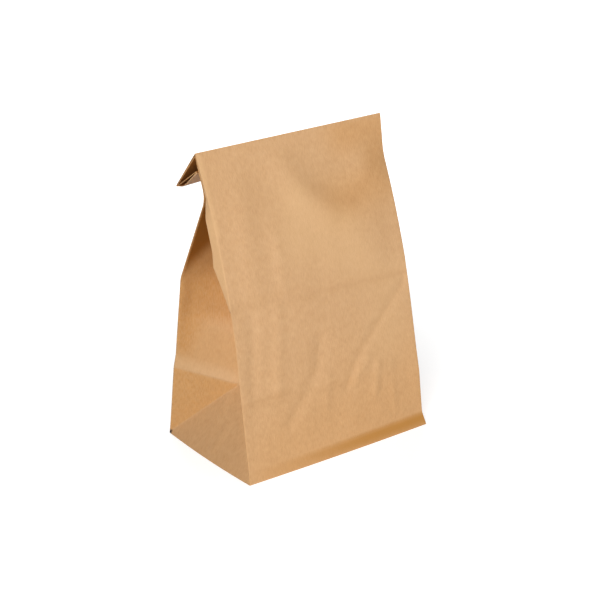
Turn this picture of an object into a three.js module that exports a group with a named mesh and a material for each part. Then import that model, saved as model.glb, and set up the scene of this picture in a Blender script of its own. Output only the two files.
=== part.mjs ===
// Brown paper lunch bag: one kraft sheet folded into a square-bottomed bag with a pleat in each side.
// It stands empty, with its top folded over towards the back and then tucked up inside that flap.
// Millimetres, +Z up. X runs across the front and Y from front to back.
// The origin is the middle of the base's underside.

import * as THREE from 'three';

// The sheet
const WIDTH = 180; // front and back panels
const DEPTH = 115; // the base, and each side panel when it is pressed flat
const PAPER = 0.12; // one layer of the sheet
const BASE_LAYERS = 3; // flaps glued over each other in the base
const FOLD_WIDTH = 1.3; // width of the rounded edge that a fold leaves

// Heights above the base
const CREASE_HEIGHT = 64.5; // crease around the bag, left from when it was folded flat
const RIDGE_HEIGHT = 254; // top folds over to the back

// Heights of the upper bends, measured down from the ridge
const PINCH_HEIGHT = RIDGE_HEIGHT - 33; // front and back meet, with the pleats between them
const BEND_HEIGHT = RIDGE_HEIGHT - 97; // middle of the front panel's slow bend
const KINK_HEIGHT = RIDGE_HEIGHT - 110; // back panel turns in towards the front

// Leaning of the panels from upright, in degrees
const FRONT_LEAN_LOW = 8.6;
const FRONT_LEAN_HIGH = 22.8;
const TOP_LEAN = 25.8; // from the pinch to the ridge
const BACK_LEAN_LOW = 10;
const BACK_LEAN_HIGH = 8.5;

// The folded top, lengths along the sheet and slopes from level in degrees
const FLAP_LENGTH = 43.5; // down behind the ridge
const FLAP_SLOPE = -50;
const TURN_LENGTH = 12.5; // under the flap
const TURN_SLOPE = 166;
const TUCK_SLOPE = 140; // up again inside the flap, to the mouth
const MOUTH_DROP = 10; // from the ridge to the mouth, measured down the flap

// How far the back panel lies inside the front panel at each fold of the top
const PINCH_GAP = 4.6;
const RIDGE_GAP = 3.8;
const TURN_GAP = 5;
const MOUTH_GAP = 1.9;
const TURN_TIP = 0.5; // half the width of the back panel's own fold inside the turn

// Facet beside each front edge, where the pleat doesn't turn in at once
const FACET_WIDTH = 11;
const FACET_START = RIDGE_HEIGHT - 114;
const FACET_WIDEST = RIDGE_HEIGHT - 82;

// How much further back the right side of the bag lies than its left side, at each bend
const FRONT_TWIST = { base: 0, crease: 5.6, bend: 11.7, pinch: 12.5, ridge: 2 };
const BACK_TWIST = { base: 0, crease: 1, bend: 6, pinch: 12.5, ridge: 2 };
const ROLL_TURN = 17; // how far the folded top is turned about its ridge at the right side, in degrees

// Rounding of the bends: length taken off each side of the corner, and steps around it
const FRONT_ROUNDING = { bend: 58, pinch: 7, ridge: 1.4, flapEnd: 2, turnEnd: 3 };
const BACK_ROUNDING = { bend: 6, pinch: 8, ridge: 0.4, flapEnd: 0.3, turnEnd: 0.3 };
const ROUND_STEPS = 3;
const MOST_TRIM = 0.9; // share of the stretch before a bend that its rounding may take

// Steps along the straight stretch that leads to each bend
const LEG_STEPS = { crease: 1, bend: 4, pinch: 4, ridge: 2, flapEnd: 3, turnEnd: 1, mouth: 2 };
const STATION_NAMES = ['base', 'crease', 'bend', 'pinch', 'ridge', 'flapEnd', 'turnEnd', 'mouth'];

const LEFT = -1;
const RIGHT = 1;

// Points in a side view are (y, z)
const point = (y, z) => new THREE.Vector2(y, z);
const radians = THREE.MathUtils.degToRad;

function climb(from, lean, height) {
  const rise = height - from.y;
  return point(from.x + rise * Math.tan(radians(lean)), height);
}

function along(from, slope, length) {
  const angle = radians(slope);
  return point(from.x + length * Math.cos(angle), from.y + length * Math.sin(angle));
}

function towards(from, to, length) {
  return to.clone().sub(from).setLength(length).add(from);
}

// A point inside a corner, on the line that halves it
function insideCorner(before, corner, after, distance) {
  const one = before.clone().sub(corner).normalize();
  const other = after.clone().sub(corner).normalize();
  return one.add(other).setLength(distance).add(corner);
}

// Corners of the same edge on the bag's right side, where the top past the ridge is turned as a whole
function twisted(corners, twist, ridge) {
  const moved = {};
  for (const name of STATION_NAMES) {
    const corner = corners[name].clone();
    if (!(name in twist)) corner.rotateAround(ridge, radians(ROLL_TURN));
    moved[name] = point(corner.x + (twist[name] ?? twist.ridge), corner.y);
  }
  return moved;
}

// Length of the sheet from the turn to the mouth, which lies a set way down the flap
function tuckLength() {
  const turnDrop = FLAP_LENGTH + TURN_LENGTH * Math.cos(radians(TURN_SLOPE - FLAP_SLOPE));
  return (turnDrop - MOUTH_DROP) / -Math.cos(radians(TUCK_SLOPE - FLAP_SLOPE));
}

// Corners of the front panel's side edge, from the base to the mouth
function frontCorners() {
  const base = point(-DEPTH / 2, 0);
  const crease = climb(base, FRONT_LEAN_LOW, CREASE_HEIGHT);
  const bend = climb(base, FRONT_LEAN_LOW, BEND_HEIGHT);
  const pinch = climb(bend, FRONT_LEAN_HIGH, PINCH_HEIGHT);
  const ridge = climb(pinch, TOP_LEAN, RIDGE_HEIGHT);
  const flapEnd = along(ridge, FLAP_SLOPE, FLAP_LENGTH);
  const turnEnd = along(flapEnd, TURN_SLOPE, TURN_LENGTH);
  const mouth = along(turnEnd, TUCK_SLOPE, tuckLength());
  return { base, crease, bend, pinch, ridge, flapEnd, turnEnd, mouth };
}

// Corners of the back panel's side edge, which lies inside the front panel in the folded top
function backCorners(front) {
  const base = point(DEPTH / 2, 0);
  const crease = climb(base, -BACK_LEAN_LOW, CREASE_HEIGHT);
  const bend = climb(crease, -BACK_LEAN_HIGH, KINK_HEIGHT);
  const pinch = along(front.pinch, -TOP_LEAN, PINCH_GAP);
  const ridge = insideCorner(front.pinch, front.ridge, front.flapEnd, RIDGE_GAP);
  const mouth = along(front.mouth, TUCK_SLOPE - 90, MOUTH_GAP);
  const tip = insideCorner(front.ridge, front.flapEnd, front.turnEnd, TURN_GAP);
  const flapEnd = along(tip, TURN_SLOPE, -TURN_TIP);
  const turnEnd = along(tip, TURN_SLOPE, TURN_TIP);
  return { base, crease, bend, pinch, ridge, flapEnd, turnEnd, mouth };
}

// Points along an edge, with its bends rounded
function edgeLine(corners, rounding) {
  const line = [corners.base];
  for (let i = 1; i < STATION_NAMES.length; i += 1) {
    const name = STATION_NAMES[i];
    const corner = corners[name];
    const before = corners[STATION_NAMES[i - 1]];
    const after = corners[STATION_NAMES[i + 1]];
    const trim = Math.min(rounding[name] ?? 0, MOST_TRIM * line.at(-1).distanceTo(corner));
    const start = trim > 0 ? towards(corner, before, trim) : corner;
    const leg = new THREE.LineCurve(line.at(-1), start);
    line.push(...leg.getPoints(LEG_STEPS[name]).slice(1));
    if (trim > 0) {
      const bend = new THREE.QuadraticBezierCurve(start, corner, towards(corner, after, trim));
      line.push(...bend.getPoints(ROUND_STEPS).slice(1));
    }
  }
  return line;
}

// Width of the facet beside the front edge at a height below the pinch
function facetWidth(height) {
  if (height < FACET_WIDEST) {
    return THREE.MathUtils.mapLinear(height, FACET_START, FACET_WIDEST, 0, FACET_WIDTH);
  }
  return THREE.MathUtils.mapLinear(height, FACET_WIDEST, PINCH_HEIGHT, FACET_WIDTH, FOLD_WIDTH);
}

// Height that the tip of the base's triangle keeps when the front and back lean in: the triangle reaches
// the crease in the flat sheet, and neither it nor the panels beside it are stretched
function triangleHeight() {
  const lean = radians((FRONT_LEAN_LOW + BACK_LEAN_LOW) / 2);
  const creaseLength = CREASE_HEIGHT / Math.cos(lean);
  return (creaseLength - (DEPTH / 2) * Math.sin(lean)) / Math.cos(lean);
}

// How far the pleat's middle fold hangs below the edges: set by the base's triangle at the crease,
// and nothing at the base and from the pinch upwards
function pleatDrop(height, above) {
  if (above === 0) return 0;
  const most = CREASE_HEIGHT - triangleHeight();
  const share = THREE.MathUtils.mapLinear(height, CREASE_HEIGHT, PINCH_HEIGHT, 1, 0);
  return most * THREE.MathUtils.clamp(share, 0, 1);
}

// Outline of one side of the bag between a point of the front edge and one of the back edge.
// Its points are (inward from the side, back from the front edge).
function sideOutline(gap, facet, drop) {
  const fold = Math.min(FOLD_WIDTH, gap / 3);
  const front = Math.min(Math.max(facet, fold), gap / 2);
  const half = (DEPTH - front - fold) / 2;
  const spread = (gap - front - fold) / 2;
  const inward = Math.sqrt(Math.max(half ** 2 - spread ** 2 - drop ** 2, 0));
  const middle = front + spread;
  const tip = Math.min(fold, spread) / 2;
  return [
    point(0, 0),
    point(0, front),
    point(inward, middle - tip),
    point(inward, middle + tip),
    point(0, gap - fold),
    point(0, gap),
  ];
}

const PLEAT_TIPS = [2, 3]; // places of the pleat's middle fold in an outline

// The same outline one wall further in
function insideOutline(outline, wall) {
  const gap = outline.at(-1).y;
  const closed = [point(WIDTH / 2, 0), ...outline, point(WIDTH / 2, gap)];
  const normals = [];
  for (let i = 0; i < closed.length - 1; i += 1) {
    const run = closed[i + 1].clone().sub(closed[i]).normalize();
    normals.push(point(-run.y, run.x));
  }
  return outline.map((corner, i) => {
    const one = normals[i];
    const other = normals[i + 1];
    const mitre = one.clone().add(other).divideScalar(1 + one.dot(other));
    return corner.clone().addScaledVector(mitre, -wall);
  });
}

// Side edges of the front and back panels, from the base to the mouth
function buildEdges() {
  const front = frontCorners();
  const back = backCorners(front);
  return {
    frontLeft: edgeLine(front, FRONT_ROUNDING),
    backLeft: edgeLine(back, BACK_ROUNDING),
    frontRight: edgeLine(twisted(front, FRONT_TWIST, front.ridge), FRONT_ROUNDING),
    backRight: edgeLine(twisted(back, BACK_TWIST, front.ridge), BACK_ROUNDING),
  };
}

// Outer and inner outlines of one side, up the whole bag, in space
function buildSide(edges, side) {
  const nearFront = side === LEFT ? edges.frontLeft : edges.frontRight;
  const nearBack = side === LEFT ? edges.backLeft : edges.backRight;
  const outer = [];
  const inner = [];
  let pinched = false;
  nearFront.forEach((start, i) => {
    const gap = start.distanceTo(nearBack[i]);
    pinched = pinched || start.y >= PINCH_HEIGHT;
    const facet = pinched ? 0 : facetWidth(start.y);
    const drop = pinched ? 0 : pleatDrop(start.y, i);
    const outline = sideOutline(gap, facet, drop);
    const place = (spot, k) => {
      const x = side * (WIDTH / 2 - spot.x);
      const share = x / WIDTH + 0.5;
      const front = edges.frontLeft[i].clone().lerp(edges.frontRight[i], share);
      const back = edges.backLeft[i].clone().lerp(edges.backRight[i], share);
      const middle = front.lerp(back, spot.y / gap);
      const lower = PLEAT_TIPS.includes(k) ? drop : 0;
      return new THREE.Vector3(x, middle.x, middle.y - lower);
    };
    const wall = i === 0 ? BASE_LAYERS * PAPER : PAPER;
    outer.push(outline.map(place));
    inner.push(insideOutline(outline, wall).map(place));
  });
  for (const corner of inner[0]) corner.z = BASE_LAYERS * PAPER;
  return { outer, inner };
}

// Closed rings around the bag: up the left side's outline, then back along the right side's
function joinSides(left, right) {
  return left.map((outline, i) => [...outline, ...right[i].toReversed()]);
}

function buildSheet() {
  const edges = buildEdges();
  const left = buildSide(edges, LEFT);
  const right = buildSide(edges, RIGHT);
  const outer = joinSides(left.outer, right.outer);
  const inner = joinSides(left.inner, right.inner);
  const around = outer[0].length;
  const half = around / 2;
  const corners = [...outer.flat(), ...inner.flat()];
  const innerStart = outer.length * around;
  const faces = [];

  const addQuad = (a, b, c, d, otherWay) => {
    if (otherWay) faces.push(a, b, d, b, c, d);
    else faces.push(a, b, c, a, c, d);
  };

  // Walls. The base's triangles are folded from the corners of the base to the pleat's middle.
  const addWalls = (start, outward) => {
    for (let i = 0; i < outer.length - 1; i += 1) {
      for (let k = 0; k < around; k += 1) {
        const next = (k + 1) % around;
        const low = start + i * around;
        const high = low + around;
        const pastTip = k % half >= half / 2;
        if (outward) addQuad(low + k, high + k, high + next, low + next, pastTip);
        else addQuad(low + k, low + next, high + next, high + k, pastTip);
      }
    }
  };
  addWalls(0, true);
  addWalls(innerStart, false);

  // Base, in strips across the bag
  for (let k = 0; k < half - 1; k += 1) {
    const across = around - 1 - k;
    addQuad(k, k + 1, across - 1, across, false);
    addQuad(innerStart + k, innerStart + across, innerStart + across - 1, innerStart + k + 1, false);
  }

  // Edge of the sheet at the mouth
  const rim = innerStart - around;
  const innerRim = corners.length - around;
  for (let k = 0; k < around; k += 1) {
    const next = (k + 1) % around;
    addQuad(rim + k, innerRim + k, innerRim + next, rim + next, false);
  }

  const sheet = new THREE.BufferGeometry().setFromPoints(corners);
  sheet.setIndex(faces);
  sheet.computeVertexNormals();
  return sheet;
}

const kraft = new THREE.MeshStandardMaterial({ color: 0xd8ae82, roughness: 0.85, metalness: 0 });

const bag = new THREE.Mesh(buildSheet(), kraft);
bag.name = 'paper_bag';

const lunchBag = new THREE.Group();
lunchBag.add(bag);

export default lunchBag;
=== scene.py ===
"""Brown paper lunch bag: the folded sheet in full detail, its kraft paper, studio light and camera.

X runs across the front panel to the right, Y from the front to the back, and Z up. The origin is the middle
of the base's underside. The sheet is worked out in millimetres; the light and the camera are in metres.
"""

import math

import bpy
import numpy as np
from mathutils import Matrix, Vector, noise


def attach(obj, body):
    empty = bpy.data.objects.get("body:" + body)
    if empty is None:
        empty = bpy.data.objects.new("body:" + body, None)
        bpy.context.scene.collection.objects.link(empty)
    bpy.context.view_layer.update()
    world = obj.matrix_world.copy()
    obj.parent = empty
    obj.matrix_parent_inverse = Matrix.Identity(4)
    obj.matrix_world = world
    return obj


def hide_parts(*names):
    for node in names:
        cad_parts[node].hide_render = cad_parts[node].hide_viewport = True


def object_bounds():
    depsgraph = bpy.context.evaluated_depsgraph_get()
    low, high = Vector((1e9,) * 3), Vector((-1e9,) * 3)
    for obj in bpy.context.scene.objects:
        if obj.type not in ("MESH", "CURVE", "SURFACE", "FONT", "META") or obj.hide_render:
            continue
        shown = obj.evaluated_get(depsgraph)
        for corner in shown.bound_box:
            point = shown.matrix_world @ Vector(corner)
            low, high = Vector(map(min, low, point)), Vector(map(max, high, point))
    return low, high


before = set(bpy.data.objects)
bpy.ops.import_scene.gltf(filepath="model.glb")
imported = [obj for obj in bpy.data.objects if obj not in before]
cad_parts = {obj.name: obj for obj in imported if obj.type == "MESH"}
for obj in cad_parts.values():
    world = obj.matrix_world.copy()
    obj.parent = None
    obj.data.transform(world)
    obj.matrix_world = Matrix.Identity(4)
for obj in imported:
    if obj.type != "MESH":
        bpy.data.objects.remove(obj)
CAD_LOW, CAD_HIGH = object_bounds()

MM = 0.001
TINY = 1e-9
RIGHT_ANGLE = 90

# The sheet: the base is as large as the CAD part's, and the ridge a little lower
WIDTH = round((CAD_HIGH[0] - CAD_LOW[0]) / MM, 1)
DEPTH = round((CAD_HIGH[1] - CAD_LOW[1]) / MM, 1)
RIDGE_LOWER = 0.7
RIDGE_HEIGHT = round(CAD_HIGH[2] / MM, 1) - RIDGE_LOWER
HALF_WIDTH = WIDTH / 2
HALF_DEPTH = DEPTH / 2
PAPER_THICKNESS = 0.15
FOLD_WIDTH = 1.3

# Heights of the bends
PINCH_BELOW_RIDGE = 31.8
BEND_BELOW_RIDGE = 95.8
KINK_BELOW_RIDGE = 108.8
CREASE_HEIGHT = 64.5
PINCH_HEIGHT = RIDGE_HEIGHT - PINCH_BELOW_RIDGE
BEND_HEIGHT = RIDGE_HEIGHT - BEND_BELOW_RIDGE
KINK_HEIGHT = RIDGE_HEIGHT - KINK_BELOW_RIDGE

# Leaning of the panels from upright, in degrees
FRONT_LEAN_LOW = 8.6
FRONT_LEAN_HIGH = 22.8
TOP_LEAN = 25.8
BACK_LEAN_LOW = 10
BACK_LEAN_HIGH = 8.5
LOW_LEAN = math.radians((FRONT_LEAN_LOW + BACK_LEAN_LOW) / 2)  # mean of both, in radians
CREASE_LENGTH = CREASE_HEIGHT / math.cos(LOW_LEAN)  # length up the sheet to the crease

# The folded top, lengths along the sheet and slopes from level in degrees
FLAP_LENGTH = 44.8
FLAP_SLOPE = -50
TURN_LENGTH = 12.5
TURN_SLOPE = 166
TUCK_LENGTH = 24
TUCK_SLOPE = 140
PINCH_GAP = 4.6
RIDGE_GAP = 3.8
TURN_GAP = 5
TURN_TIP = 0.5
MOUTH_GAP = 1.9

# Facet beside each front edge: its width at heights up to the pinch
FACET_HEIGHTS = (138, 170, 182, 206, 216, 221)
FACET_WIDTHS = (0.6, 12, 9.3, 8.7, 5, 2.4)
FACET_COLUMNS = 4  # columns of the mesh across it
FACET_OUT = 0.27  # share of its width that it stands out from the side
FACET_CLOSE = 20  # height below the pinch over which it stops standing out
FACET_SPARE = 7.67  # width that its columns keep where there is no facet
FACET_LEAD = 25  # height over which they close up below the facet
FACET_CLEAR = 1.6  # widths of a folded edge that it leaves free in a narrow gap
ROLL_FACET = 0.9  # width of the folded edge in the flap and the tuck
GAP_PARTS = 3  # a folded edge takes at most one of so many parts of the gap between front and back

# Above the kink the pleat's middle fold comes to lie against the back panel
MIDDLE_BACK = 0.97  # share of the way
MIDDLE_LEAD = 45  # height below the kink where it starts to
MIDDLE_RISE = 26  # height above the kink where it has got there
MIDDLE_RETURN = 15  # height below the pinch where it starts to come back

# How much further back the right side lies than the left, at each bend
FRONT_TWIST = {"base": 0, "crease": 5.6, "bend": 11.7, "pinch": 12.5, "ridge": 2}
BACK_TWIST = {"base": 0, "crease": 1, "bend": 6, "pinch": 12.5, "ridge": 2}
ROLL_TURN = 17  # how far the folded top is turned about its ridge at the right, in degrees

# Bottom band at the right of the front, where the glued base holds the paper out
BAND_HEIGHT = 9.4
BAND_DEPTH = 3.6
BAND_FADE = 45  # height where the paper is back in its plane

# Rounding of the bends: length taken off each side of the corner
FRONT_ROUNDING = {"bend": 58, "pinch": 7, "ridge": 1.4, "flap_end": 2, "turn_end": 3}
BACK_ROUNDING = {"bend": 2.5, "pinch": 8, "ridge": 0.4, "flap_end": 0.3, "turn_end": 0.3}
CORNER_STEPS = 24

# Seam up the back panel, where one edge of the sheet is glued over the other
SEAM_PLACE = 27
SEAM_OVERLAP = 20
SEAM_STEP = 0.3
SEAM_SLOPE = 0.4  # width of the step

# Rows of the mesh up the sheet and columns around it
STATIONS = ["base", "crease", "bend", "pinch", "ridge", "flap_end", "turn_end", "mouth"]
ROW_COUNTS = {"pinch": 56, "ridge": 14, "flap_end": 16, "turn_end": 10, "mouth": 8}
SIDE_COLUMNS = 60
PANEL_COLUMNS = 76
SIDE_COLUMN = DEPTH / SIDE_COLUMNS
SMOOTH_ANGLE = 30
EDGE_STEP = 0.7  # first row or column beside a fold
ON_FOLD = 0.01  # nearness to a fold that counts as on it

# The two sides, and the four areas in their order around the sheet
LEFT = -1
RIGHT = 1
LEFT_SIDE = 0
BACK_PANEL = 1
RIGHT_SIDE = 2
FRONT_PANEL = 3

# Creases and wrinkles: how far each stands out, its half width, and its line on the sheet (across, up)
FRONT_CREASES = (
    (-0.8, 5, ((-90, 141), (90, 129.5))),
    (0.9, 5.5, ((-90, 66.5), (-43, 64.5), (60, 58))),
    (1.7, 14, ((-14, 238), (-2, 214), (18, 196))),
    (2.2, 16, ((66, 228), (70, 222))),
    (1.0, 12, ((-60, 226), (-66, 150))),
    (0.5, 5, ((-36, 186), (-37, 142))),
    (0.8, 5, ((-45, 134), (-54, 66))),
    (-0.7, 5, ((-71, 131), (-77, 73))),
    (-1.1, 4, ((86, 123), (62, 104), (30, 76), (14, 54))),
    (-1.1, 6, ((-9, 96), (-12, 78), (-27, 58), (-45, 39))),
    (0.9, 3.5, ((38, 70), (22, 58))),
    (0.9, 3.5, ((47, 64), (41, 40))),
    (0.6, 3.5, ((-4, 66), (-9, 42))),
    (0.7, 3.5, ((60, 42), (61, 25))),
)
SIDE_CREASES = (
    (0.8, 9, ((104, 84), (102, 116))),
    (0.7, 4, ((110, 143), (109, 132))),
    (0.5, 4, ((56, 8), (52, 30))),
)
BACK_CREASES = (
    (-0.8, 5, ((-90, 129), (90, 135))),
    (1.6, 13, ((-44, 200), (-14, 166))),
    (0.9, 6, ((84, 108), (52, 92))),
    (-0.8, 6, ((-28, 84), (-52, 40))),
    (0.6, 5, ((44, 60), (30, 30))),
)
CREASES_END = (240, 258)  # lengths up the front between which its creases die away at the ridge
CREASES_HELD = 5  # they also fade out this near to an edge

# The crease around the sides and the back, at the base triangle's tip
SIDE_CREASE = 1.5
CREASE_REACH = (55, 11)  # below and above it
SIDE_CREASE_LEAD = 10  # width over which it grows behind the pleat's middle fold
BACK_CREASE = 0.3  # share of it that is left in the middle of the back panel
BACK_CREASE_FADE = 30  # width over which it fades from the panel's edge

# The pleat's back half is dented between the crease and the kink
DENT_UP = (CREASE_LENGTH, 114, 146)  # lengths up the sheet where it starts, is deepest and ends
DENT_DEPTH = 3.5
DENT_FADE = 14  # width over which it fades out at the middle fold and at the back edge

# Waves in the paper: spacing across, how much longer they are up the sheet, and depth
WAVE_SIZE = 55
WAVE_STRETCH = 1.4
WAVE_DEPTH = 0.9
RIPPLE_SIZE = 21
RIPPLE_STRETCH = 1.6
RIPPLE_DEPTH = 0.4
WAVE_LAYER = 7.3  # distance in the noise from one area of the sheet to the next
RIPPLE_LAYER = 5.1
RIPPLE_START = 20
EDGE_CALM = 14  # waves fade out towards a fold
WAVES_END = (185, 222)  # and between these lengths up the sheet, below the folded top
LOW_CALM = 0.35  # share of the waves that the base triangles keep
LOW_CALM_REACH = (5, 15)  # below and above the crease

# How far the base's edges stand out in the middle
SIDE_BOW = 1.8
PANEL_BOW = 1.1
BOW_FADE = 30  # height where the panels are back in their planes

# Paper of deeper, warmer or paler colour, which paints shade, warm shade and light: how much, half width, and
# line on the sheet (across, up)
FRONT_SHADE = (
    (0.05, 9, ((-3, 233), (9, 216))),
    (0.12, 9, ((11, 214), (27, 204), (44, 198))),
    (0.1, 8, ((50, 200), (64, 210), (71, 222))),
    (0.09, 18, ((54, 252), (84, 248), (80, 212))),
    (0.06, 2.5, ((-90, 141), (10, 134.5))),
    (0.12, 2.5, ((10, 134.5), (90, 129.5))),
    (0.12, 2.5, ((-90, 66.5), (-43, 64.5))),
    (0.06, 2.5, ((86, 123), (62, 104), (30, 76))),
)
FRONT_WARM_SHADE = (
    (0.55, 20, ((50, 252), (82, 250), (78, 208), (34, 200))),
    (0.5, 55, ((-50, 4), (80, 26))),
)
FRONT_PAINTED_LIGHT = (
    (1.1, 24, ((-6, 206), (-10, 182), (24, 174))),
    (0.75, 24, ((42, 150), (68, 126), (58, 80))),
)
SIDE_SHADE = (
    (0.08, 7, ((101, 124), (74, 122))),
    (0.06, 5, ((109, 124), (108, 88))),
)

# Colour of the bottom band
BAND_EDGE = (-1.5, 2)  # lengths from its upper edge between which it fades
BAND_FOOT = 0.55  # its share at the very bottom
BAND_FOOT_HEIGHT = 4
BAND_ACROSS = (-110, 40)  # places across the front between which it grows

# Painted light, painted warm bounce light and painted shade in the pleats, by length up the sheet
CREASE_LIGHT = 22  # length over which the paper above the crease is paler, by painted light
PLEAT_LIGHT = 0.42  # how much paler the pleat is further up, by painted light
PLEAT_LIGHT_FADE = (104, 120)  # lengths between which that ends
PLEAT_LIGHT_LIMIT = (108, 91)  # place across the side where it ends, at the crease and at its top
PLEAT_LIGHT_SOFT = 7  # half width of that limit
PLEAT_SHADE = 0.1  # how much painted shade deepens the pleat's colour above that
TRIANGLE_WARMTH = 0.22  # share of the pleat's painted warm bounce light in the base triangles, which face up
SHADE_EDGE = 148  # length, at the back edge, where painted shade makes the pleat's inside much deeper in colour
SHADE_RISE = 1.15  # rise of that limit for each millimetre in from the back edge
SHADE_HIGHEST = 178
SHADE_FADE = (-12, 18)  # lengths from that limit between which the colour deepens

# Folds paler from wear and painted highlight, and the facet's painted highlight
FOLD_WEAR_AND_HIGHLIGHT = 0.7  # of the base triangle's folds, beside that of the bag's edges
FACET_REACH = (FACET_COLUMNS + 0.5) * SIDE_COLUMN  # paper this near to the front edge is the facet's
BACK_REACH = 1.5 * SIDE_COLUMN  # paper this near to the back edge is the folded edge's
FACET_COOL = (120, 140)  # lengths up the sheet between which the facet loses the pleat's painted warm bounce light
TOP_EDGE_ROWS = 10  # the front left edge gets a wider painted highlight from so many rows below the pinch
TOP_EDGE_COLUMNS = 2
NOTCH_POINTS = 3  # rows and columns of the painted shade in the open notch at the base's back left corner

# Colours of the kraft paper, linear; the warm colour paints bounce light and shade, the deep and notch
# colours paint shade, and the light colour also paints highlights
KRAFT = (0.605, 0.358, 0.18)
KRAFT_DARK = (0.44, 0.21, 0.07)
KRAFT_LIGHT = (0.72, 0.45, 0.22)
KRAFT_WARM = (0.635, 0.32, 0.105)
KRAFT_SHADE = (0.28, 0.085, 0.0)
KRAFT_BAND = (0.45, 0.197, 0.03)
NOTCH_SHADE = (0.04, 0.02, 0.01)

# Noise in the paper: lumps to a metre across and up, detail, and the range that is spread from 0 to 1
CLOUDS = ((40, 26), 3.0, (0.3, 0.7))
MOTTLE = ((260, 170), 3.0, (0.3, 0.7))
FIBRES = ((1100, 260), 4.0, (0.3, 0.7))
SPECKS = ((900, 700), 2.0, (0.6, 0.8))

# Share that each layer of colour covers
CLOUD_SHARE = 0.14
MOTTLE_SHARE = 0.34
FIBRE_SHARE = 0.45
SPECK_SHARE = 0.35
PALE_SHARE = 0.4
BAND_SHARE = 0.9
SHADE_SHARE = 0.95

ROUGHNESS = (0.55, 1.0)  # of plain paper, and where the painted shade is darkest
SPECULAR = 0.3
BUMP_STRENGTH = 0.25
BUMP_HEIGHT = 0.2 * MM
BASE_PATTERN = 400  # how far across the noise the base lies from the walls

# Studio, in metres and watts: each lamp's place, size and power
LAMPS = {
    "key": ((-1.38, -1.14, 0.98), (0.7, 0.7), 32.4),
    "fill_front": ((0.55, -2.0, 0.55), (1.2, 0.8), 18),
    "fill_back": ((0.9, 1.7, 0.75), (1.2, 0.8), 26),
}
LAMP_AIM = (0, 0, 0.12)
FLOOR_REACH = 6
FLOOR_GREY = 0.6
FLOOR_GLOW = {"From Min": 0.1, "From Max": 0.5, "To Min": 0.68, "To Max": 1.0}  # by distance from the bag
WHITE = (1, 1, 1, 1)

# Camera at the photograph's viewing angle, in metres; its lens and sensor are in millimetres
CAMERA_PLACE = (-0.76441, -1.02412, 0.63817)
CAMERA_DIRECTION = (0.55417, 0.74105, -0.37913)
CAMERA_LENS = 103.225
CAMERA_SENSOR = 36


def lerp(a, b, share):
    """The value this share of the way from a to b."""
    return a + (b - a) * share


def smooth(low, high, value):
    """0 up to low, 1 from high on, and a soft rise between."""
    share = np.clip((value - low) / (high - low), 0, 1)
    return share * share * (3 - 2 * share)


# Side view of the bag: points are (y, z)
def climb(start, lean, height):
    """The point at this height on a line that leans so far from upright."""
    rise = height - start[1]
    return np.array((start[0] + rise * math.tan(math.radians(lean)), height))


def along(start, slope, length):
    """The point at this length on a line that slopes so far from level."""
    angle = math.radians(slope)
    return start + length * np.array((math.cos(angle), math.sin(angle)))


def unit(vector):
    """The same direction with a length of 1."""
    return vector / np.linalg.norm(vector)


def inside_corner(before, corner, after, distance):
    """The point at this distance from a corner, inside its bend."""
    return corner + distance * unit(unit(before - corner) + unit(after - corner))


def front_corners():
    """Corners of the front panel's left edge, from the base over the ridge to the mouth."""
    base = np.array((-HALF_DEPTH, 0.0))
    bend = climb(base, FRONT_LEAN_LOW, BEND_HEIGHT)
    pinch = climb(bend, FRONT_LEAN_HIGH, PINCH_HEIGHT)
    ridge = climb(pinch, TOP_LEAN, RIDGE_HEIGHT)
    flap_end = along(ridge, FLAP_SLOPE, FLAP_LENGTH)
    turn_end = along(flap_end, TURN_SLOPE, TURN_LENGTH)
    return {
        "base": base,
        "crease": climb(base, FRONT_LEAN_LOW, CREASE_HEIGHT),
        "bend": bend,
        "pinch": pinch,
        "ridge": ridge,
        "flap_end": flap_end,
        "turn_end": turn_end,
        "mouth": along(turn_end, TUCK_SLOPE, TUCK_LENGTH),
    }


def back_corners(front):
    """Corners of the back panel's left edge, which follows the front's inside the folded top."""
    base = np.array((HALF_DEPTH, 0.0))
    crease = climb(base, -BACK_LEAN_LOW, CREASE_HEIGHT)
    tip = inside_corner(front["ridge"], front["flap_end"], front["turn_end"], TURN_GAP)
    return {
        "base": base,
        "crease": crease,
        "bend": climb(crease, -BACK_LEAN_HIGH, KINK_HEIGHT),
        "pinch": along(front["pinch"], -TOP_LEAN, PINCH_GAP),
        "ridge": inside_corner(front["pinch"], front["ridge"], front["flap_end"], RIDGE_GAP),
        "flap_end": along(tip, TURN_SLOPE, -TURN_TIP),
        "turn_end": along(tip, TURN_SLOPE, TURN_TIP),
        "mouth": along(front["mouth"], TUCK_SLOPE - RIGHT_ANGLE, MOUTH_GAP),
    }


def turned_about(corner, centre, degrees):
    """A corner turned about a centre, as seen from the side."""
    cosine, sine = math.cos(math.radians(degrees)), math.sin(math.radians(degrees))
    y, z = corner - centre
    return centre + (cosine * y - sine * z, sine * y + cosine * z)


def twisted(corners, twist, centre):
    """The same corners on the bag's right side; the folded top past the ridge is turned as a whole."""
    moved = {}
    for name, corner in corners.items():
        if name in twist:
            moved[name] = corner + (twist[name], 0)
        else:
            moved[name] = turned_about(corner, centre, ROLL_TURN) + (twist["ridge"], 0)
    return moved


def rounded(before, corner, after, trim):
    """The curve that takes a corner's place."""
    start = corner + trim * unit(before - corner)
    end = corner + trim * unit(after - corner)
    t = np.linspace(0, 1, CORNER_STEPS + 1)[:, None]
    return (1 - t) ** 2 * start + 2 * t * (1 - t) * corner + t**2 * end


def spaced(path, shares):
    """Points at these shares of a path's length."""
    steps = np.linalg.norm(np.diff(path, axis=0), axis=1)
    length = np.concatenate(([0], np.cumsum(steps)))
    return np.column_stack([np.interp(shares * length[-1], length, path[:, k]) for k in (0, 1)])


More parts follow.
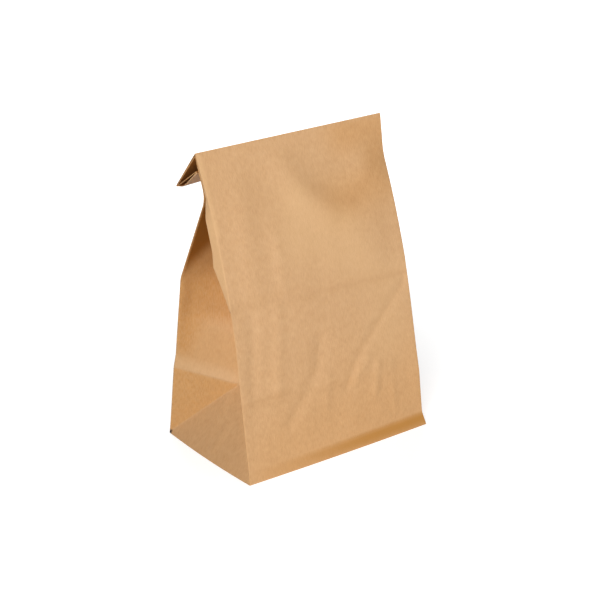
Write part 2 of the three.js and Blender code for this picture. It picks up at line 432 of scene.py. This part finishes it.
def low_rows():
    """Lengths up the sheet of the rows below the crease. The base triangle's folds cross them at columns."""
    even = np.arange(1, SIDE_COLUMNS // 2 + 1) * CREASE_LENGTH / (SIDE_COLUMNS // 2)
    return np.concatenate(([0, EDGE_STEP * CREASE_LENGTH / HALF_DEPTH], even))


LOW_ROWS = low_rows()


def edge_rows(corners, rounding):
    """Points of one edge of the bag from the base to the mouth, one for each row of the mesh."""
    path = []
    middle = {}
    for i, name in enumerate(STATIONS):
        if name in rounding:
            before, after = corners[STATIONS[i - 1]], corners[STATIONS[i + 1]]
            middle[name] = len(path) + CORNER_STEPS // 2
            path.extend(rounded(before, corners[name], after, rounding[name]))
        else:
            middle[name] = len(path)
            path.append(corners[name])
    path = np.array(path)
    rows = [spaced(path[: middle["crease"] + 1], LOW_ROWS / LOW_ROWS[-1])]
    start = "crease"
    for name, count in ROW_COUNTS.items():
        stretch = path[middle[start] : middle[name] + 1]
        rows.append(spaced(stretch, np.arange(1, count + 1) / count))
        start = name
    return np.concatenate(rows)


# Edges of the front and back panels, each at the left and at the right
FRONT = front_corners()
BACK = back_corners(FRONT)
FRONT_RIGHT = twisted(FRONT, FRONT_TWIST, FRONT["ridge"])
BACK_RIGHT = twisted(BACK, BACK_TWIST, FRONT["ridge"])
FRONT_EDGES = (edge_rows(FRONT, FRONT_ROUNDING), edge_rows(FRONT_RIGHT, FRONT_ROUNDING))
BACK_EDGES = (edge_rows(BACK, BACK_ROUNDING), edge_rows(BACK_RIGHT, BACK_ROUNDING))
# At the right the paper is set back just above the bottom band
FRONT_EDGES[1][:, 0] += np.interp(FRONT_EDGES[1][:, 1], (0, BAND_HEIGHT, BAND_FADE), (0, BAND_DEPTH, 0))
ROWS = len(FRONT_EDGES[0])
CREASE_ROW = len(LOW_ROWS) - 1
PINCH_ROW = CREASE_ROW + ROW_COUNTS["pinch"]
RIDGE_ROW = PINCH_ROW + ROW_COUNTS["ridge"]


def side_columns():
    """Lengths across a side panel, from its front edge to its back edge."""
    even = np.arange(1, SIDE_COLUMNS) * DEPTH / SIDE_COLUMNS
    return np.concatenate(([0, EDGE_STEP], even, [DEPTH - EDGE_STEP, DEPTH]))


def panel_columns():
    """Places across a front or back panel, from left to right."""
    even = np.linspace(-HALF_WIDTH, HALF_WIDTH, PANEL_COLUMNS + 1)
    beside_edges = (EDGE_STEP - HALF_WIDTH, HALF_WIDTH - EDGE_STEP)
    beside_seam = (SEAM_PLACE, SEAM_PLACE + SEAM_SLOPE)
    return np.sort(np.concatenate((even, beside_edges, beside_seam)))


SIDE = side_columns()
PANEL = panel_columns()

# Columns of the bag's upright edges: each area starts at one of them and ends before the next
FRONT_LEFT_EDGE = 0
BACK_LEFT_EDGE = len(SIDE) - 1
BACK_RIGHT_EDGE = BACK_LEFT_EDGE + len(PANEL) - 1
FRONT_RIGHT_EDGE = BACK_RIGHT_EDGE + len(SIDE) - 1
COLUMNS = FRONT_RIGHT_EDGE + len(PANEL) - 1
EDGES = (FRONT_LEFT_EDGE, BACK_LEFT_EDGE, BACK_RIGHT_EDGE, FRONT_RIGHT_EDGE)
AREAS = np.repeat((LEFT_SIDE, BACK_PANEL, RIGHT_SIDE, FRONT_PANEL), np.diff((*EDGES, COLUMNS)))


def ring_lengths():
    """Length around the flat sheet of each column."""
    back = DEPTH + (PANEL[:-1] + HALF_WIDTH)
    right = DEPTH + WIDTH + (DEPTH - SIDE[::-1][:-1])
    front = 2 * DEPTH + WIDTH + (WIDTH - (PANEL[::-1][:-1] + HALF_WIDTH))
    return np.concatenate((SIDE[:-1], back, right, front))


def side_places():
    """Place of each column across its side from the front edge, or nan in the front and back panels."""
    left = np.where(AREAS == LEFT_SIDE, AROUND, np.nan)
    return np.where(AREAS == RIGHT_SIDE, 2 * DEPTH + WIDTH - AROUND, left)


def past_fold():
    """How far the base triangle's fold lies past each place of a side, for the rows up to the crease."""
    reach = LOW_ROWS / CREASE_LENGTH * HALF_DEPTH
    return reach[:, None] - np.minimum(SIDE_PLACES, DEPTH - SIDE_PLACES)[None, :]


AROUND = ring_lengths()
SIDE_PLACES = side_places()
PAST_FOLD = past_fold()
IN_SIDE = ~np.isnan(SIDE_PLACES)
IN_FACET = SIDE_PLACES < FACET_REACH
IN_PLEAT = ~IN_FACET & (SIDE_PLACES < DEPTH - BACK_REACH)


def side_point(row, side, inward, back, lower=0):
    """A point of a side panel: its way in from the side, its share from front to back, and its drop."""
    x = side * (HALF_WIDTH - inward)
    share = x / WIDTH + 0.5
    front = lerp(FRONT_EDGES[0][row], FRONT_EDGES[1][row], share)
    rear = lerp(BACK_EDGES[0][row], BACK_EDGES[1][row], share)
    spot = lerp(front, rear, back)
    return np.array((x, spot[0], spot[1] - lower))


def pleat_drop(row, height):
    """How far the pleat's middle fold hangs below the edges, as the base triangle's tip sets it."""
    if row > PINCH_ROW:
        return 0
    apex_height = (CREASE_LENGTH - HALF_DEPTH * math.sin(LOW_LEAN)) / math.cos(LOW_LEAN)
    share = (PINCH_HEIGHT - height) / (PINCH_HEIGHT - CREASE_HEIGHT)
    return (CREASE_HEIGHT - apex_height) * float(np.clip(share, 0, 1))


def middle_back(row, height):
    """How far the pleat's middle fold lies back from halfway, as a share of the way to the back panel."""
    if row > PINCH_ROW:
        return 0
    rise = smooth(KINK_HEIGHT - MIDDLE_LEAD, KINK_HEIGHT + MIDDLE_RISE, height)
    fall = smooth(PINCH_HEIGHT - MIDDLE_RETURN, PINCH_HEIGHT, height)
    return MIDDLE_BACK * float(rise - fall)


def facet_width(row, height):
    """Width of the facet, which narrows to the folded edge above the pinch."""
    if row > PINCH_ROW:
        return float(np.interp(row, (PINCH_ROW, RIDGE_ROW), (FACET_WIDTHS[-1], ROLL_FACET)))
    return float(np.interp(height, FACET_HEIGHTS, FACET_WIDTHS))


def facet_out(row, height, facet):
    """How far the facet stands out from the side."""
    if row > PINCH_ROW:
        return 0
    return FACET_OUT * facet * float(smooth(PINCH_HEIGHT, PINCH_HEIGHT - FACET_CLOSE, height))


def side_line(knots, corners):
    """The side panel's columns along a line through these corners."""
    corners = np.array(corners)
    return np.column_stack([np.interp(SIDE, knots, corners[:, k]) for k in range(3)])


def fold_line(row, side):
    """Side panel above the base triangle: edge, facet, the pleat's middle fold, and the other edge."""
    edge = 0 if side == LEFT else 1
    start = FRONT_EDGES[edge][row]
    height = start[1]
    above = row > PINCH_ROW
    gap = np.linalg.norm(BACK_EDGES[edge][row] - start)
    fold = min(ROLL_FACET if row > RIDGE_ROW else FOLD_WIDTH, gap / GAP_PARTS)
    turned = 1.0 if above else float(smooth(CREASE_HEIGHT, CREASE_HEIGHT + FACET_LEAD, height))
    facet = min(facet_width(row, height), gap - FACET_CLEAR * fold)
    faceted = above or height > FACET_HEIGHTS[0]
    front = facet if faceted else 0

    half = (DEPTH - front - fold * turned) / 2
    spread = (gap - front - fold * turned) / 2
    drop = pleat_drop(row, height)
    behind = spread * (1 - middle_back(row, height))
    inward = math.sqrt(max(half**2 - behind**2 - drop**2, 0))
    middle = side_point(row, side, inward, (front + 2 * spread - behind) / gap, drop)

    front_edge = side_point(row, side, 0, 0)
    back_edge = side_point(row, side, 0, 1)
    if faceted:
        out = facet_out(row, height, facet)
        beside_front = side_point(row, side, -out, (facet - out) / gap)
    else:
        closing = (FACET_HEIGHTS[0] - FACET_LEAD, FACET_HEIGHTS[0])
        spare = np.interp(height, closing, (FACET_SPARE, facet))
        beside_front = lerp(front_edge, middle, spare / half)
    plain = lerp(back_edge, middle, SIDE_COLUMN / half)
    beside_back = lerp(plain, side_point(row, side, 0, 1 - fold / gap), turned)
    knots = (0, FACET_COLUMNS * SIDE_COLUMN, HALF_DEPTH, DEPTH - SIDE_COLUMN, DEPTH)
    return side_line(knots, (front_edge, beside_front, middle, beside_back, back_edge))


def low_line(row, side, apex):
    """Side panel beside and in the base triangle, whose folds run from the base's corners to its tip."""
    share = LOW_ROWS[row] / CREASE_LENGTH
    length = share * HALF_DEPTH
    front_fold = lerp(side_point(0, side, 0, 0), apex, share)
    back_fold = lerp(side_point(0, side, 0, 1), apex, share)
    knots = (0, length, DEPTH - length, DEPTH)
    return side_line(knots, (side_point(row, side, 0, 0), front_fold, back_fold, side_point(row, side, 0, 1)))


def side_rows(side):
    """Points of a side panel, row by row from its front edge to its back edge."""
    upper = [fold_line(row, side) for row in range(CREASE_ROW, ROWS)]
    apex = upper[0][np.searchsorted(SIDE, HALF_DEPTH - ON_FOLD)]
    lower = [low_line(row, side, apex) for row in range(CREASE_ROW)]
    return np.array(lower + upper)


def panel_rows(edges):
    """Points of the front or back panel, row by row from left to right."""
    share = (PANEL / WIDTH + 0.5)[None, :, None]
    side_view = lerp(edges[0][:, None, :], edges[1][:, None, :], share)
    x = np.broadcast_to(PANEL[None, :, None], side_view.shape[:2] + (1,))
    return np.concatenate((x, side_view), axis=2)


def plain_rings():
    """Points of every row around the bag, seen from above: left side to the back, then on to the front."""
    areas = (
        side_rows(LEFT)[:, :-1],
        panel_rows(BACK_EDGES)[:, :-1],
        side_rows(RIGHT)[:, ::-1][:, :-1],
        panel_rows(FRONT_EDGES)[:, ::-1][:, :-1],
    )
    return np.concatenate(areas, axis=1)


def normals(points):
    """Outward direction at every point of the rings."""
    around = np.roll(points, -1, axis=1) - np.roll(points, 1, axis=1)
    up = np.gradient(points, axis=0)
    out = np.cross(up, around)
    return out / np.maximum(np.linalg.norm(out, axis=2, keepdims=True), TINY)


def row_lengths(points):
    """Length up the sheet of each row, measured in the middle of the front panel."""
    middle = COLUMNS - len(PANEL) // 2
    steps = np.linalg.norm(np.diff(points[:, middle], axis=0), axis=1)
    return np.concatenate(([0], np.cumsum(steps)))


def waves(around, length, area):
    """How far the paper's waves and ripples lift a place on the sheet."""
    big_place = (around / WAVE_SIZE, length / WAVE_SIZE / WAVE_STRETCH, area * WAVE_LAYER)
    small_layer = RIPPLE_START + area * RIPPLE_LAYER
    small_place = (around / RIPPLE_SIZE, length / RIPPLE_SIZE / RIPPLE_STRETCH, small_layer)
    return WAVE_DEPTH * noise.noise(Vector(big_place)) + RIPPLE_DEPTH * noise.noise(Vector(small_place))


def line_distance(across, up, line):
    """Distance of places on the sheet from a line through these points."""
    nearest = np.full(up.shape, np.inf)
    for (x0, y0), (x1, y1) in zip(line, line[1:]):
        dx, dy = x1 - x0, y1 - y0
        share = np.clip(((across - x0) * dx + (up - y0) * dy) / (dx**2 + dy**2), 0, 1)
        nearest = np.minimum(nearest, np.hypot(across - x0 - share * dx, up - y0 - share * dy))
    return nearest


def creased(creases, across, up):
    """Sum of the creases or tones at one place across the sheet, for each length up it."""
    total = np.zeros(up.shape)
    for height, reach, line in creases:
        total += height * np.exp(-((line_distance(across, up, line) / reach) ** 2))
    return total


def seam_step(across):
    """How far the back panel stands out beside its seam."""
    past = across - SEAM_PLACE
    if past < SEAM_SLOPE / 2:
        return 0
    return SEAM_STEP * (1 - smooth(SEAM_OVERLAP, 2 * SEAM_OVERLAP, past))


def calm_up(up):
    """Share of the waves that is left at each length up the sheet."""
    return smooth(0, EDGE_CALM, up) * (1 - smooth(*WAVES_END, up))


def crease_near(up):
    """The crease around the bag: 1 at its own height, falling off below and above."""
    below, above = CREASE_REACH
    return np.interp(up, (CREASE_LENGTH - below, CREASE_LENGTH, CREASE_LENGTH + above), (0, 1, 0))


def front_offset(across, up, wave):
    """How far a column of the front panel lies out: waves and creases."""
    inside = HALF_WIDTH - abs(across)
    held = smooth(0, CREASES_HELD, inside) * (1 - smooth(*CREASES_END, up))
    return smooth(0, EDGE_CALM, inside) * calm_up(up) * wave + held * creased(FRONT_CREASES, across, up)


def back_offset(across, up, wave):
    """How far a column of the back panel lies out: waves, creases and the seam."""
    inside = HALF_WIDTH - abs(across)
    beside = lerp(BACK_CREASE, 1, smooth(BACK_CREASE_FADE, 0, inside))
    offset = smooth(0, EDGE_CALM, inside) * calm_up(up) * wave
    offset += SIDE_CREASE * beside * crease_near(up)
    return offset + (creased(BACK_CREASES, across, up) + seam_step(across))


def side_offset(spot, up, wave):
    """How far a column of a side lies out: waves, creases and the dent."""
    below, above = LOW_CALM_REACH
    above_crease = lerp(LOW_CALM, 1, smooth(CREASE_LENGTH - below, CREASE_LENGTH + above, up))
    calm = smooth(0, EDGE_CALM, min(spot, abs(spot - HALF_DEPTH), DEPTH - spot))
    fold = SIDE_CREASE * smooth(HALF_DEPTH, HALF_DEPTH + SIDE_CREASE_LEAD, spot) * crease_near(up)
    held = smooth(0, CREASES_HELD, min(spot, DEPTH - spot))
    dented = smooth(HALF_DEPTH, HALF_DEPTH + DENT_FADE, spot) * smooth(DEPTH, DEPTH - DENT_FADE, spot)
    offset = calm * calm_up(up) * above_crease * wave + fold
    offset += held * creased(SIDE_CREASES, spot, up)
    return offset - dented * np.interp(up, DENT_UP, (0, DENT_DEPTH, 0))


def unevenness(points, up):
    """How far each point lies out from its plain place."""
    offset = np.zeros(points.shape[:2])
    for column, area in enumerate(AREAS):
        wave = np.array([waves(AROUND[column], length, area) for length in up])
        if area == FRONT_PANEL:
            offset[:, column] = front_offset(points[0, column, 0], up, wave)
        elif area == BACK_PANEL:
            offset[:, column] = back_offset(points[0, column, 0], up, wave)
        else:
            offset[:, column] = side_offset(SIDE_PLACES[column], up, wave)
    return offset


def bow_base(points, up):
    """The bottom edges stand out a little in the middle of each panel."""
    fade = 1 - smooth(0, BOW_FADE, up)
    for column, area in enumerate(AREAS):
        if area in (BACK_PANEL, FRONT_PANEL):
            share = abs(points[0, column, 0]) / HALF_WIDTH
            out = PANEL_BOW * (1 - share**2) * fade
            points[:, column, 1] += out if area == BACK_PANEL else -out
        else:
            share = abs(points[0, column, 1]) / HALF_DEPTH
            out = SIDE_BOW * (1 - share**2) * fade
            points[:, column, 0] += out if area == RIGHT_SIDE else -out


def round_edges(points):
    """Moves the four upright edges halfway to the middle of their neighbours, so that none is sharp."""
    for edge in EDGES:
        middle = (points[:, edge - 1] + points[:, (edge + 1) % COLUMNS]) / 2
        points[:, edge] = (points[:, edge] + middle) / 2


def base_border():
    """Numbers of the bottom row's points along the base's left, right, front and back edges."""
    left = np.arange(len(SIDE))
    back = BACK_LEFT_EDGE + np.arange(len(PANEL))
    front = (COLUMNS - np.arange(len(PANEL))) % COLUMNS
    return left, FRONT_RIGHT_EDGE - left, front, back


def base_points(ring):
    """Points of the base, spanned between its four edges: rows from the left side to the right side."""
    left, right, front, back = (ring[numbers] for numbers in base_border())
    share_x = (PANEL / WIDTH + 0.5)[:, None, None]
    share_y = (SIDE / DEPTH)[None, :, None]
    between_sides = lerp(left[None], right[None], share_x)
    between_panels = lerp(front[:, None], back[:, None], share_y)
    front_line = lerp(left[0], right[0], share_x)
    back_line = lerp(left[-1], right[-1], share_x)
    return between_sides + between_panels - lerp(front_line, back_line, share_y)


def wall_faces():
    """Faces between the rows. Below the crease the sides are split along the base triangle's folds."""
    faces = []
    for row in range(ROWS - 1):
        for column, area in enumerate(AREAS):
            a = row * COLUMNS + column
            b = row * COLUMNS + (column + 1) % COLUMNS
            c = b + COLUMNS
            d = a + COLUMNS
            if row >= CREASE_ROW or area in (BACK_PANEL, FRONT_PANEL):
                faces.append((a, d, c, b))
            elif column - EDGES[area] < (len(SIDE) - 1) // 2:
                faces.extend(((a, c, b), (a, d, c)))
            else:
                faces.extend(((a, d, b), (b, d, c)))
    return faces


def base_faces():
    """Faces of the base: a grid whose border is the bottom row, and whose inner points follow the walls'."""
    inside = (len(PANEL) - 2, len(SIDE) - 2)
    numbers = np.zeros((len(PANEL), len(SIDE)), int)
    numbers[0], numbers[-1], numbers[:, 0], numbers[:, -1] = base_border()
    numbers[1:-1, 1:-1] = ROWS * COLUMNS + np.arange(math.prod(inside)).reshape(inside)
    corners = (numbers[:-1, :-1], numbers[:-1, 1:], numbers[1:, 1:], numbers[1:, :-1])
    return np.stack(corners, axis=2).reshape(-1, 4).tolist()


def painted_pleat_light(up):
    """Painted light above the crease: paler paper, all of it near the crease, and part of the pleat further
    up.
    """
    near = 1 - smooth(CREASE_LENGTH, CREASE_LENGTH + CREASE_LIGHT, up)[:, None]
    limit = np.interp(up, (CREASE_LENGTH, PLEAT_LIGHT_FADE[1]), PLEAT_LIGHT_LIMIT)[:, None]
    inside = smooth(-PLEAT_LIGHT_SOFT, PLEAT_LIGHT_SOFT, limit - SIDE_PLACES[None, :])
    wide = PLEAT_LIGHT * (1 - smooth(*PLEAT_LIGHT_FADE, up))[:, None] * inside
    pleat_light = np.where(IN_SIDE, np.maximum(near, wide), 0)
    pleat_light[:CREASE_ROW] = 0
    return pleat_light


def bounce_light_sides(up, pleat_light):
    """Painted warm bounce light of the sides, which the base triangles have little of, and less where the
    painted light above the crease lies.
    """
    warm_bounce_and_shade = np.ones((ROWS, COLUMNS))
    warm_bounce_and_shade[: CREASE_ROW + 1] = np.where(PAST_FOLD > ON_FOLD, 1, TRIANGLE_WARMTH)
    warm_bounce_and_shade = np.where(IN_SIDE, warm_bounce_and_shade * (1 - pleat_light), 0)
    warm_bounce_and_shade[:, IN_FACET] *= (1 - smooth(*FACET_COOL, up))[:, None]
    return warm_bounce_and_shade


def painted_shade_sides(up, warm_bounce_and_shade):
    """Painted shade: deeper colour of the pleats towards the pinch, and of the paper inside the folded top.
    """
    shade = PLEAT_SHADE * warm_bounce_and_shade
    shade[: CREASE_ROW + 1] = 0
    limit = np.minimum(SHADE_EDGE + SHADE_RISE * (DEPTH - SIDE_PLACES), SHADE_HIGHEST)
    painted_shade = np.maximum(shade, smooth(*SHADE_FADE, up[:, None] - limit[None, :]))
    for column in np.flatnonzero(IN_PLEAT):
        painted_shade[:, column] += creased(SIDE_SHADE, SIDE_PLACES[column], up)
    painted_shade = np.where(IN_PLEAT, np.minimum(painted_shade, 1), 0)
    # painted shade over the back panel inside the folded top
    painted_shade[RIDGE_ROW:, AREAS == BACK_PANEL] = 1
    return painted_shade


def pale_folds(up, pleat_light):
    """Paler paper at the folds, from wear and painted highlight, and painted highlight in the facet."""
    # painted highlight over the facet
    strip = smooth(*FACET_HEIGHTS[:2], up)[:, None] * IN_FACET[None, :]
    strip[RIDGE_ROW:] = 0
    pale = np.maximum(pleat_light, strip)
    # the bag's upright edges: fold wear and painted highlight
    pale[:, EDGES] = 1
    # the base triangle's folds and the crease: fold wear and painted highlight
    pale[: CREASE_ROW + 1][np.abs(PAST_FOLD) < ON_FOLD] = FOLD_WEAR_AND_HIGHLIGHT
    pale[CREASE_ROW, IN_SIDE] = FOLD_WEAR_AND_HIGHLIGHT
    # painted highlight along the top of the front left edge
    pale[PINCH_ROW - TOP_EDGE_ROWS : RIDGE_ROW, -TOP_EDGE_COLUMNS:] = 1
    return pale


def darker_band(across, up):
    """Darker band along the bottom of the front, over the glued base."""
    low, high = BAND_EDGE
    fade = 1 - smooth(BAND_HEIGHT + low, BAND_HEIGHT + high, up)
    band = fade * lerp(BAND_FOOT, 1, smooth(0, BAND_FOOT_HEIGHT, up))
    return np.where(AREAS == FRONT_PANEL, band[:, None] * smooth(*BAND_ACROSS, across)[None, :], 0)


def corner_notch_shade():
    """Painted shade in the notch at the base's back left corner, where the folds leave it open."""
    notch = np.zeros((ROWS, COLUMNS))
    notch[:NOTCH_POINTS, BACK_LEFT_EDGE - NOTCH_POINTS + 1 : BACK_LEFT_EDGE + 1] = 1
    return notch


def paint_front(values, tones, across, up):
    """Adds these tones to the front panel below the ridge."""
    for column in np.flatnonzero(AREAS == FRONT_PANEL):
        tone = creased(tones, across[column], up[:RIDGE_ROW])
        values[:RIDGE_ROW, column] = np.maximum(values[:RIDGE_ROW, column], np.minimum(tone, 1))


def marks(across, up):
    """Where the paper is paler from fold wear and painted light, darker in the bottom band, warmer from
    painted bounce light and shade, deeper from painted shade, and painted dark in the open notch at a corner.
    """
    pleat_light = painted_pleat_light(up)
    pale = pale_folds(up, pleat_light)
    warm_bounce_and_shade = bounce_light_sides(up, pleat_light)
    painted_shade = painted_shade_sides(up, warm_bounce_and_shade)
    # painted light, painted warm shade and painted shade on the front
    paint_front(pale, FRONT_PAINTED_LIGHT, across, up)
    paint_front(warm_bounce_and_shade, FRONT_WARM_SHADE, across, up)
    paint_front(painted_shade, FRONT_SHADE, across, up)
    band_dark = darker_band(across, up)
    return {"pale": pale, "band_dark": band_dark, "warm_bounce_and_shade": warm_bounce_and_shade, "painted_shade": painted_shade, "notch": corner_notch_shade()}


def sharpen(mesh):
    """Keeps the crease and the base triangle's folds sharp on both sides."""
    for edge in mesh.edges:
        (row_a, column_a), (row_b, column_b) = (divmod(number, COLUMNS) for number in edge.vertices)
        if max(row_a, row_b) > CREASE_ROW or not (IN_SIDE[column_a] and IN_SIDE[column_b]):
            continue
        past = max(abs(PAST_FOLD[row_a, column_a]), abs(PAST_FOLD[row_b, column_b]))
        along_fold = row_a != row_b and past < ON_FOLD
        if along_fold or row_a == row_b == CREASE_ROW:
            edge.use_edge_sharp = True


def sheet_mesh(walls, base, up):
    """The sheet's mesh, with each point's place on the flat paper as its UV."""
    points = np.concatenate((walls.reshape(-1, 3), base.reshape(-1, 3)))
    wall_places = np.stack(np.broadcast_arrays(AROUND[None, :], up[:, None]), axis=2)
    base_places = np.stack(np.meshgrid(PANEL[1:-1] + BASE_PATTERN, -SIDE[1:-1], indexing="ij"), axis=2)
    places = np.concatenate((wall_places.reshape(-1, 2), base_places.reshape(-1, 2))) * MM
    mesh = bpy.data.meshes.new("bag_sheet")
    mesh.from_pydata((points * MM).tolist(), [], wall_faces() + base_faces())
    layer = mesh.uv_layers.new(name="sheet")
    for loop in mesh.loops:
        layer.data[loop.index].uv = places[loop.vertex_index]
    return mesh


def build_bag():
    """The folded sheet as one object, with its marks and its thickness."""
    walls = plain_rings()
    up = row_lengths(walls)
    walls = walls + normals(walls) * unevenness(walls, up)[:, :, None]
    bow_base(walls, up)
    round_edges(walls)
    base = base_points(walls[0])[1:-1, 1:-1]
    mesh = sheet_mesh(walls, base, up)
    unmarked = np.zeros(len(mesh.vertices) - ROWS * COLUMNS)
    for name, values in marks(walls[0, :, 0], up).items():
        attribute = mesh.attributes.new(name, "FLOAT", "POINT")
        attribute.data.foreach_set("value", np.concatenate((values.ravel(), unmarked)))

    bag = bpy.data.objects.new("bag", mesh)
    bpy.context.scene.collection.objects.link(bag)
    bpy.context.view_layer.objects.active = bag
    bag.select_set(True)
    bpy.ops.object.shade_smooth_by_angle(angle=math.radians(SMOOTH_ANGLE))
    bag.select_set(False)
    sharpen(mesh)
    solid = bag.modifiers.new("paper", "SOLIDIFY")
    solid.thickness = PAPER_THICKNESS * MM
    solid.offset = -1
    return bag


class Nodes:
    """A short way to add nodes to a material or the world and join them."""

    def __init__(self, tree):
        self.tree = tree

    def join(self, value, socket):
        """Sets a socket to a value, or joins it to another node's output."""
        if isinstance(value, bpy.types.NodeSocket):
            self.tree.links.new(value, socket)
        else:
            socket.default_value = value

    def add(self, kind, values=None, **settings):
        """Adds a node with these input values and settings."""
        node = self.tree.nodes.new("ShaderNode" + kind)
        for key, value in settings.items():
            setattr(node, key, value)
        for socket, value in (values or {}).items():
            self.join(value, node.inputs[socket])
        return node

    def math(self, operation, first, second):
        """Result of a sum, product or the like of two values."""
        return self.add("Math", {0: first, 1: second}, operation=operation).outputs[0]

    def mark(self, name):
        """One of the sheet's marks."""
        return self.add("Attribute", attribute_name=name).outputs["Fac"]

    def noise(self, place, lumps, detail, span):
        """Noise over the sheet, with so many lumps to a metre each way, its span spread between 0 and 1."""
        spot = self.add("Mapping", {"Vector": place, "Scale": (*lumps, 1)})
        pattern = self.add("TexNoise", {"Vector": spot.outputs[0], "Scale": 1.0, "Detail": detail})
        spread = {"Value": pattern.outputs["Fac"], "From Min": span[0], "From Max": span[1]}
        return self.add("MapRange", spread).outputs["Result"]

    def cover(self, colour, share, top):
        """Lays a colour over another."""
        mix = self.add("Mix", data_type="RGBA")
        sockets = {socket.identifier: socket for socket in mix.inputs}
        self.join(share, sockets["Factor_Float"])
        self.join(colour, sockets["A_Color"])
        self.join((*top, 1), sockets["B_Color"])
        return next(output for output in mix.outputs if output.identifier == "Result_Color")

    def seen_directly(self):
        """1 for rays from the camera and for reflections, 0 for the rays that light the paper."""
        path = self.add("LightPath").outputs
        reflected = self.math("MAXIMUM", path["Is Glossy Ray"], path["Is Transmission Ray"])
        return self.math("MAXIMUM", path["Is Camera Ray"], reflected)


def new_material(name):
    """A new material, which starts with one plain shader."""
    material = bpy.data.materials.new(name)
    material.use_nodes = True
    return material


def kraft_paper():
    """Brown kraft: cloudy colour, fibres that run up the sheet, specks, folds paler from wear and painted
    highlight, a darker bottom band, painted warm bounce light, and painted shade.
    """
    material = new_material("kraft_paper")
    paper = Nodes(material.node_tree)
    place = paper.add("UVMap", uv_map="sheet").outputs[0]
    fibres = paper.noise(place, *FIBRES)
    specks = paper.noise(place, *SPECKS)
    painted_shade = paper.mark("painted_shade")
    layers = (
        (paper.noise(place, *CLOUDS), CLOUD_SHARE, KRAFT_DARK),
        (paper.noise(place, *MOTTLE), MOTTLE_SHARE, KRAFT_DARK),
        (fibres, FIBRE_SHARE, KRAFT_LIGHT),
        (specks, SPECK_SHARE, KRAFT_DARK),
        (paper.mark("pale"), PALE_SHARE, KRAFT_LIGHT),
        (paper.mark("band_dark"), BAND_SHARE, KRAFT_BAND),
        (painted_shade, SHADE_SHARE, KRAFT_SHADE),
    )
    # Some layers paint light: the warm layer bounce light and shade, the pale layer fold wear and highlights,
    # the deep layer and the notch shade
    colour = paper.cover((*KRAFT, 1), paper.mark("warm_bounce_and_shade"), KRAFT_WARM)
    for pattern, share, top in layers:
        colour = paper.cover(colour, paper.math("MULTIPLY", pattern, share), top)
    # painted shade in the open notch
    colour = paper.cover(colour, paper.mark("notch"), NOTCH_SHADE)
    plain, deepest = ROUGHNESS
    roughness = paper.add("MapRange", {"Value": painted_shade, "To Min": plain, "To Max": deepest})
    height = paper.math("ADD", fibres, specks)
    bump = paper.add("Bump", {"Height": height, "Strength": BUMP_STRENGTH, "Distance": BUMP_HEIGHT})
    shader = material.node_tree.nodes["Principled BSDF"].inputs
    shader["Specular IOR Level"].default_value = SPECULAR
    paper.join(roughness.outputs["Result"], shader["Roughness"])
    paper.join(colour, shader["Base Color"])
    paper.join(bump.outputs[0], shader["Normal"])
    return material


def floor_white():
    """Pale floor that keeps the bag's shadow, and glows white further away from it."""
    material = new_material("floor_white")
    floor = Nodes(material.node_tree)
    place = floor.add("NewGeometry").outputs["Position"]
    distance = floor.add("VectorMath", {0: place}, operation="LENGTH").outputs["Value"]
    rise = floor.add("MapRange", {"Value": distance, **FLOOR_GLOW}, interpolation_type="SMOOTHSTEP")
    strength = floor.math("MULTIPLY", floor.seen_directly(), rise.outputs["Result"])
    glow = floor.add("Emission", {"Strength": strength})
    diffuse = floor.add("BsdfDiffuse", {"Color": (FLOOR_GREY, FLOOR_GREY, FLOOR_GREY, 1)})
    both = floor.add("AddShader", {0: diffuse.outputs[0], 1: glow.outputs[0]})
    floor.tree.nodes.remove(floor.tree.nodes["Principled BSDF"])
    floor.join(both.outputs[0], floor.tree.nodes["Material Output"].inputs["Surface"])
    return material


def add_floor():
    """White floor, which is no part of the bag."""
    corners = [(x * FLOOR_REACH, y * FLOOR_REACH, 0) for x, y in ((-1, -1), (1, -1), (1, 1), (-1, 1))]
    mesh = bpy.data.meshes.new("floor")
    mesh.from_pydata(corners, [], [(0, 1, 2, 3)])
    mesh.materials.append(floor_white())
    floor = bpy.data.objects.new("floor", mesh)
    bpy.context.scene.collection.objects.link(floor)


def add_world():
    """White where it is seen or reflected, and dark for the paper, which the lamps light."""
    world = bpy.data.worlds.new("studio")
    bpy.context.scene.world = world
    world.use_nodes = True
    studio = Nodes(world.node_tree)
    background = world.node_tree.nodes["Background"].inputs
    background["Color"].default_value = WHITE
    studio.join(studio.seen_directly(), background["Strength"])


def add_aimed(name, data, place, direction):
    """Adds a lamp or a camera that looks along this direction."""
    aimed = bpy.data.objects.new(name, data)
    aimed.location = place
    aimed.rotation_euler = direction.to_track_quat("-Z", "Y").to_euler()
    bpy.context.scene.collection.objects.link(aimed)
    return aimed


def add_lamps():
    """Soft lamps, all aimed at the middle of the bag."""
    for name, (place, size, power) in LAMPS.items():
        data = bpy.data.lights.new(name, "AREA")
        data.shape = "RECTANGLE"
        data.size, data.size_y = size
        data.energy = power
        add_aimed(name, data, place, Vector(LAMP_AIM) - Vector(place))


def add_camera():
    """Camera at the photograph's viewing angle."""
    data = bpy.data.cameras.new("camera")
    data.sensor_width = CAMERA_SENSOR
    data.lens = CAMERA_LENS
    bpy.context.scene.camera = add_aimed("camera", data, CAMERA_PLACE, Vector(CAMERA_DIRECTION))


bag = build_bag()
bag.data.materials.append(kraft_paper())
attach(bag, "root")
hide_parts("paper_bag")

add_floor()
add_world()
add_lamps()
add_camera()
bpy.context.scene.view_settings.view_transform = "Standard"
